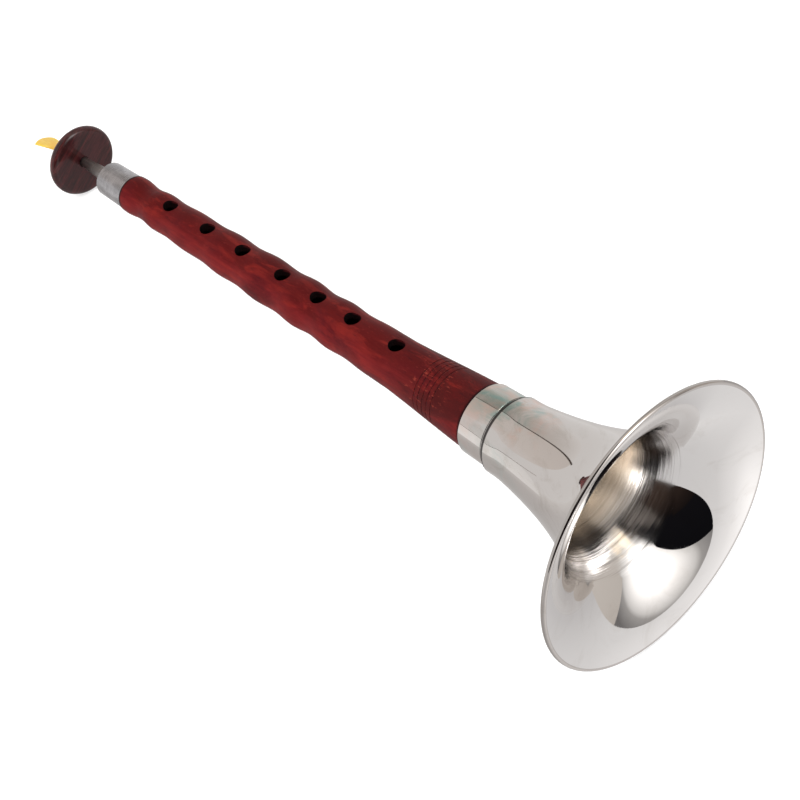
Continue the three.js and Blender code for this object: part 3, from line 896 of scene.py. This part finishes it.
def reed_wire():
    """One round wire, wound on the reed's root, with narrowed ends."""
    radius = cad_points("reed_binding")[:, 0].max() - WIRE_RADIUS
    first = reed_low + WIRE_SET_BACK
    per_loop, sides = WIRE_STEPS_PER_LOOP, WIRE_ROUND
    steps = WIRE_LOOPS * per_loop
    vertices = []
    for i in range(steps + 1):
        angle = 2 * math.pi * i / per_loop
        out = Vector((math.cos(angle), 0, math.sin(angle)))
        middle = out * radius + Vector((0, first + WIRE_PITCH * i / per_loop, 0))
        narrow = WIRE_RADIUS * (WIRE_END_SHARE if i in (0, steps) else 1)
        for k in range(sides):
            spoke = 2 * math.pi * k / sides
            off_middle = out * math.cos(spoke) + Vector((0, math.sin(spoke), 0))
            vertices.append(tuple(middle + off_middle * narrow))
    faces = grid_faces(steps + 1, sides, False)
    faces += [tuple(range(sides)), tuple(steps * sides + k for k in reversed(range(sides)))]
    wire = add_piece("reed_wire", vertices, faces, SOFT_SMOOTH_ANGLE)
    finish_piece(wire, copper(), "reed", "copper_wire", "reed_binding")


# Studio

PANEL_DISTANCE = 3.0
PANEL_STEPS = 24
FLOOR_REACH = 6.0
FLOOR_DROP = 0.0002
FLOOR_GREY_SEEN = 0.55
FLOOR_GREY_LIGHTING = 0.8
FLOOR_GLOW = 0.62
WORLD_FILL = 0.62
LAMPS = {"key": ((0.1, -0.9, 1.5), 1.2, 22), "fill": ((-0.7, 0.9, 1.2), 1.4, 9)}


def bare_tree(owner, output_kind):
    """The emptied node tree of a material or a world, and its new output node."""
    owner.use_nodes = True
    owner.node_tree.nodes.clear()
    return owner.node_tree, owner.node_tree.nodes.new(output_kind)


def joined(tree, kind, first, second, share=None):
    """A shader of the given kind that adds or mixes two others."""
    both = tree.nodes.new(kind)
    shaders = [socket for socket in both.inputs if socket.type == "SHADER"]
    tree.links.new(first.outputs[0], shaders[0])
    tree.links.new(second.outputs[0], shaders[1])
    if share is not None:
        tree.links.new(share, both.inputs["Fac"])
    return both


def emitter(name, strength, stops, along, middle=(0.5, 0.5), reach=1.0, veil=False):
    """A glowing material, shaded along a panel (X), up it (Y) or out from its middle (R), where the
    last stop is at the reach. A veil only adds its light to what is behind it."""
    material = bpy.data.materials.new(name)
    tree, output = bare_tree(material, "ShaderNodeOutputMaterial")
    place = tree.nodes.new("ShaderNodeTexCoord").outputs["UV"]
    if along == "R":
        centred = tree.nodes.new("ShaderNodeMapping")
        centred.inputs["Location"].default_value = (-2 * middle[0] / reach, -2 * middle[1] / reach, 0)
        centred.inputs["Scale"].default_value = (2 / reach, 2 / reach, 0)
        length = tree.nodes.new("ShaderNodeVectorMath")
        length.operation = "LENGTH"
        tree.links.new(place, centred.inputs["Vector"])
        tree.links.new(centred.outputs[0], length.inputs[0])
        share = length.outputs["Value"]
    else:
        split = tree.nodes.new("ShaderNodeSeparateXYZ")
        tree.links.new(place, split.inputs[0])
        share = split.outputs[along]
    ramp = tree.nodes.new("ShaderNodeValToRGB")
    set_stops(ramp.color_ramp, stops)
    glow = tree.nodes.new("ShaderNodeEmission")
    glow.inputs["Strength"].default_value = strength
    tree.links.new(share, ramp.inputs["Fac"])
    tree.links.new(ramp.outputs["Color"], glow.inputs["Color"])
    if veil:
        glow = joined(tree, "ShaderNodeAddShader", glow, tree.nodes.new("ShaderNodeBsdfTransparent"))
    tree.links.new(glow.outputs[0], output.inputs["Surface"])
    return material


def panel(name, corners, strength, stops, along="X", near=1.0, **shading):
    """A studio panel that only reflections show. Its corners are (azimuth, elevation) in degrees,
    seen from the bell: bottom left, bottom right, top right, top left. Its stops are as for an
    emitter, and near is its share of the panels' distance."""
    vertices, faces, places = [], [], []
    low_left, low_right, high_right, high_left = [Vector(c) for c in corners]
    for i in range(PANEL_STEPS + 1):
        for k in range(PANEL_STEPS + 1):
            u, v = k / PANEL_STEPS, i / PANEL_STEPS
            place = low_left.lerp(low_right, u).lerp(high_left.lerp(high_right, u), v)
            azimuth, elevation = math.radians(place.x), math.radians(place.y)
            level = math.cos(elevation)
            way = Vector((math.cos(azimuth) * level, math.sin(azimuth) * level, math.sin(elevation)))
            vertices.append(tuple(RIM + way * PANEL_DISTANCE * near))
            places.append((u, v))
    for i in range(PANEL_STEPS):
        for k in range(PANEL_STEPS):
            a = i * (PANEL_STEPS + 1) + k
            faces.append((a, a + 1, a + PANEL_STEPS + 2, a + PANEL_STEPS + 1))
    mesh = bpy.data.meshes.new(name)
    mesh.from_pydata(vertices, [], faces)
    uv = mesh.uv_layers.new(name="UVMap")
    for loop in mesh.loops:
        uv.data[loop.index].uv = places[loop.vertex_index]
    mesh.materials.append(emitter(name + "_glow", strength, stops, along, **shading))
    board = bpy.data.objects.new(name, mesh)
    bpy.context.scene.collection.objects.link(board)
    board.visible_camera = False
    board.visible_diffuse = False
    board.visible_transmission = False
    board.visible_volume_scatter = False
    board.visible_shadow = False


def panels():
    """What the metal reflects: one bright soft box, dark cloths beside it, and pale walls and floor."""
    panel("softbox", [(-2.5, -8), (47, -10.5), (57, 64), (-5.5, 64)], 8,
          [(0.14, (255, 255, 255)), (0.3, (156, 155, 154)), (0.46, (120, 119, 118)), (0.6, (103, 102, 101)),
           (0.7, (88, 87, 86)), (0.76, (66, 65, 64)), (0.95, (44, 43, 43))],
          "R", middle=(0.43, 0.6), reach=1.6)
    panel("dark_flag", [(-36, -6), (-1, -8), (-3, 66), (-40, 66)], 1.0,
          [(0.0, (20, 19, 22)), (1.0, (16, 16, 19))], near=1.02)
    panel("brown_flag", [(-76, -3.5), (-35, -6), (-38, 38), (-76, 38)], 1.0,
          [(0.0, (74, 60, 52)), (0.75, (38, 30, 27)), (1.0, (24, 20, 20))], near=1.04)
    panel("grey_flag", [(-84, 38), (-32, 38), (-32, 80), (-84, 80)], 1.0,
          [(0.0, (92, 86, 82)), (0.5, (128, 121, 116)), (1.0, (150, 143, 138))], "Y", near=1.06)
    panel("dark_ceiling", [(-32, 64), (14, 64), (14, 84), (-32, 84)], 1.0,
          [(0.0, (44, 40, 39)), (1.0, (110, 102, 96))])
    panel("side_wall", [(46, -10.5), (80, -10), (82, 50), (54, 50)], 1.0,
          [(0.0, (208, 201, 194)), (1.0, (216, 209, 202))], near=1.04)
    panel("cream_light", [(20, 64), (70, 50), (85, 84), (14, 84)], 2.2,
          [(0.0, (255, 240, 214)), (0.7, (255, 236, 206)), (1.0, (210, 190, 160))], "R")
    panel("back_wall", [(182, 11), (216, 9), (226, 60), (167, 48)], 1.0,
          [(0.0, (238, 232, 227)), (0.7, (244, 238, 233)), (1.0, (252, 248, 246))])
    panel("back_wall_edge", [(180.4, 10), (182.4, 10), (167.6, 48), (165.8, 48)], 1.0,
          [(0.0, (150, 142, 136)), (0.4, (60, 55, 50)), (1.0, (120, 112, 106))], near=0.98)
    panel("left_ceiling", [(118, 12), (180, 12), (164, 56), (118, 56)], 1.0,
          [(0.0, (255, 254, 253)), (0.35, (226, 221, 216)), (0.7, (198, 192, 186)), (1.0, (176, 170, 164))],
          "Y", near=1.02)
    panel("floor_line", [(213, -3.4), (238, -2.4), (238, -1.7), (213, -2.7)], 1.0,
          [(0.0, (200, 192, 186)), (0.4, (110, 102, 96)), (1.0, (90, 84, 78))], near=0.96)
    panel("floor_light", [(212, -25), (248, -25), (250, -2), (219, -2)], 1.3,
          [(0.0, (236, 236, 236)), (0.5, (255, 255, 255)), (1.0, (240, 240, 240))], near=0.98)
    panel("floor_paper_near", [(100, -84), (290, -84), (290, -20), (100, -20)], 1.0,
          [(0.0, (198, 195, 193)), (0.5, (214, 212, 211)), (0.8, (226, 224, 223)), (1.0, (252, 251, 250))],
          "Y")
    panel("floor_paper_far", [(-80, -86), (100, -86), (100, -9), (-80, -4)], 1.0,
          [(0.0, (224, 223, 224)), (0.28, (232, 231, 231)), (0.55, (248, 247, 247)), (0.7, (238, 237, 237)),
           (0.85, (212, 210, 210)), (1.0, (196, 194, 194))], near=1.08)
    panel("floor_glow", [(-22, -50), (46, -50), (46, -7), (-22, -7)], 0.5,
          [(0.0, (255, 254, 253)), (0.5, (150, 149, 148)), (1.0, (0, 0, 0))], "R", near=0.96, veil=True)


def floor():
    """A white floor, which the camera sees bright enough that only shadows show on it."""
    mesh = bpy.data.meshes.new("floor")
    corners = [(-1, -1), (1, -1), (1, 1), (-1, 1)]
    mesh.from_pydata([(x * FLOOR_REACH, y * FLOOR_REACH, 0) for x, y in corners], [], [(0, 1, 2, 3)])
    ground = bpy.data.objects.new("floor", mesh)
    bpy.context.scene.collection.objects.link(ground)
    ground.location.z = -FLOOR_DROP
    ground.visible_glossy = False
    material = bpy.data.materials.new("floor_paper")
    tree, output = bare_tree(material, "ShaderNodeOutputMaterial")
    lighting, seen = tree.nodes.new("ShaderNodeBsdfDiffuse"), tree.nodes.new("ShaderNodeBsdfDiffuse")
    for paper, grey in ((lighting, FLOOR_GREY_LIGHTING), (seen, FLOOR_GREY_SEEN)):
        paper.inputs["Color"].default_value = (grey, grey, grey, 1)
    glow = tree.nodes.new("ShaderNodeEmission")
    glow.inputs["Strength"].default_value = FLOOR_GLOW
    bright = joined(tree, "ShaderNodeAddShader", seen, glow)
    by_camera = tree.nodes.new("ShaderNodeLightPath").outputs["Is Camera Ray"]
    mix = joined(tree, "ShaderNodeMixShader", lighting, bright, by_camera)
    tree.links.new(mix.outputs[0], output.inputs["Surface"])
    mesh.materials.append(material)


def world():
    """White where the camera, a reflection or a see-through ray looks, and a plain fill light."""
    scene = bpy.context.scene
    scene.world = bpy.data.worlds.new("studio")
    tree, output = bare_tree(scene.world, "ShaderNodeOutputWorld")
    fill, white = tree.nodes.new("ShaderNodeBackground"), tree.nodes.new("ShaderNodeBackground")
    for sky, strength in ((fill, WORLD_FILL), (white, 1.0)):
        sky.inputs["Color"].default_value = (1, 1, 1, 1)
        sky.inputs["Strength"].default_value = strength
    path = tree.nodes.new("ShaderNodeLightPath")
    seen = path.outputs["Is Camera Ray"]
    for ray in ("Is Glossy Ray", "Is Transmission Ray"):
        greater = tree.nodes.new("ShaderNodeMath")
        greater.operation = "MAXIMUM"
        tree.links.new(seen, greater.inputs[0])
        tree.links.new(path.outputs[ray], greater.inputs[1])
        seen = greater.outputs[0]
    mix = joined(tree, "ShaderNodeMixShader", fill, white, seen)
    tree.links.new(mix.outputs[0], output.inputs["Surface"])


def lamp(name, place, size, power):
    """A soft square lamp that faces the instrument. Only matt surfaces show it."""
    light = bpy.data.lights.new(name, "AREA")
    light.size = size
    light.energy = power
    holder = bpy.data.objects.new(name, light)
    bpy.context.scene.collection.objects.link(holder)
    holder.location = place
    holder.rotation_euler = (-Vector(place)).to_track_quat("-Z", "Y").to_euler()
    holder.visible_glossy = False


def camera():
    """The photo's own viewpoint."""
    data = bpy.data.cameras.new("camera")
    data.lens = CAMERA_LENS
    data.clip_start, data.clip_end = CAMERA_CLIP
    holder = bpy.data.objects.new("camera", data)
    turned_by = Euler([math.radians(a) for a in CAMERA_TURN]).to_matrix().to_4x4()
    holder.matrix_world = BORE @ Matrix.Translation(CAMERA_PLACE) @ turned_by
    bpy.context.scene.collection.objects.link(holder)
    bpy.context.scene.camera = holder
    bpy.context.scene.view_settings.view_transform = "Standard"


camera()
spun_bell()
bell_cork()
lower_ferrule()
turned_pipe()
top_ferrule()
bocal()
bocal_lapping()
air_disc()
cane_reed()
reed_wire()
panels()
floor()
world()
for lamp_name, settings in LAMPS.items():
    lamp(lamp_name, *settings)
